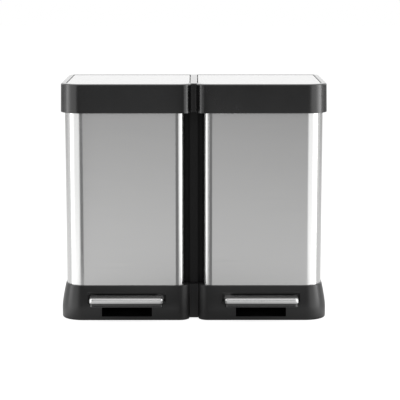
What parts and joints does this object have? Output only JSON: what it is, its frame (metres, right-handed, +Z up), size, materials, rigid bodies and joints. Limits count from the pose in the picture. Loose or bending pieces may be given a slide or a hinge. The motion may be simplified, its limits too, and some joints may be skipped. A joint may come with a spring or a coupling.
{
  "type": "double recycling bin",
  "caption": "Two pedal bins side by side in brushed steel shells, on a flared black base and under a black collar with a hinged steel lid over each lift-out bucket.",
  "frame": {"origin": "on the floor below the middle of the object's bounding box", "axes": "+X to the right seen from the front, +Y to the back, +Z up; the pedals are at -Y"},
  "size_m": [0.595, 0.329, 0.53],
  "materials": {
    "black_plastic": "fine satin moulding",
    "base_plastic": "fine satin moulding",
    "inner_plastic": "matt moulding",
    "bucket_plastic": "matt moulding",
    "guide_plastic": "natural low-friction moulding",
    "rubber": "matt",
    "zinc_steel": "bright zinc",
    "brushed_shell": "brushed across its width",
    "lid_steel": "finely brushed",
    "pedal_steel": "finely brushed"
  },
  "bodies": {
    "root": {"base": "base_plastic", "bottom_cover": "inner_plastic", "rubber_feet": "rubber", "base_screws": "zinc_steel", "front_column": "black_plastic", "rear_column": "black_plastic", "divider_panel": "inner_plastic", "top_collar": "black_plastic", "right_steel_shell": "brushed_shell", "right_bucket": "bucket_plastic", "right_bag_ring": "inner_plastic", "right_rod_channel": "inner_plastic", "right_rod_guides": "guide_plastic", "right_lever_pivot_pin": "zinc_steel", "left_steel_shell": "brushed_shell", "left_bucket": "bucket_plastic", "left_bag_ring": "inner_plastic", "left_rod_channel": "inner_plastic", "left_rod_guides": "guide_plastic", "left_lever_pivot_pin": "zinc_steel"},
    "right_lid": {"right_lid_frame": "black_plastic", "right_lid_skin": "lid_steel", "right_lid_liner": "inner_plastic", "right_lid_cam": "guide_plastic", "right_lid_bumpers": "rubber", "right_hinge_pin": "zinc_steel", "right_lid_damper": "guide_plastic"},
    "right_pedal": {"right_pedal_cover": "pedal_steel", "right_pedal_core": "black_plastic", "right_pedal_lever": "zinc_steel", "right_pedal_rivets": "zinc_steel"},
    "right_rod": {"right_lift_rod": "zinc_steel", "right_rod_top_pad": "guide_plastic", "right_rod_foot": "guide_plastic"},
    "left_lid": {"left_lid_frame": "black_plastic", "left_lid_skin": "lid_steel", "left_lid_liner": "inner_plastic", "left_lid_cam": "guide_plastic", "left_lid_bumpers": "rubber", "left_hinge_pin": "zinc_steel", "left_lid_damper": "guide_plastic"},
    "left_pedal": {"left_pedal_cover": "pedal_steel", "left_pedal_core": "black_plastic", "left_pedal_lever": "zinc_steel", "left_pedal_rivets": "zinc_steel"},
    "left_rod": {"left_lift_rod": "zinc_steel", "left_rod_top_pad": "guide_plastic", "left_rod_foot": "guide_plastic"}
  },
  "joints": [
    {"name": "right_lid_hinge", "type": "hinge", "parent": "root", "child": "right_lid", "pos_m": [0.14, 0.1413, 0.522], "axis": [-1, 0, 0], "range_deg": [0, 80]},
    {"name": "right_pedal_pivot", "type": "hinge", "parent": "root", "child": "right_pedal", "pos_m": [0.15, -0.015, 0.042], "axis": [1, 0, 0], "range_deg": [0, 9.89]},
    {"name": "right_rod_slide", "type": "slide", "parent": "root", "child": "right_rod", "axis": [0, 0, 1], "range_m": [0, 0.02401]},
    {"name": "left_lid_hinge", "type": "hinge", "parent": "root", "child": "left_lid", "pos_m": [-0.14, 0.1413, 0.522], "axis": [-1, 0, 0], "range_deg": [0, 80]},
    {"name": "left_pedal_pivot", "type": "hinge", "parent": "root", "child": "left_pedal", "pos_m": [-0.15, -0.015, 0.042], "axis": [1, 0, 0], "range_deg": [0, 9.89]},
    {"name": "left_rod_slide", "type": "slide", "parent": "root", "child": "left_rod", "axis": [0, 0, 1], "range_m": [0, 0.02401]}
  ],
  "couplings": [
    {"joint": "right_pedal_pivot", "follows": "right_lid_hinge", "ratio": 0.12356},
    {"joint": "right_rod_slide", "follows": "right_lid_hinge", "m_per_rad": 0.017189},
    {"joint": "left_pedal_pivot", "follows": "left_lid_hinge", "ratio": 0.12356},
    {"joint": "left_rod_slide", "follows": "left_lid_hinge", "m_per_rad": 0.017189}
  ]
}
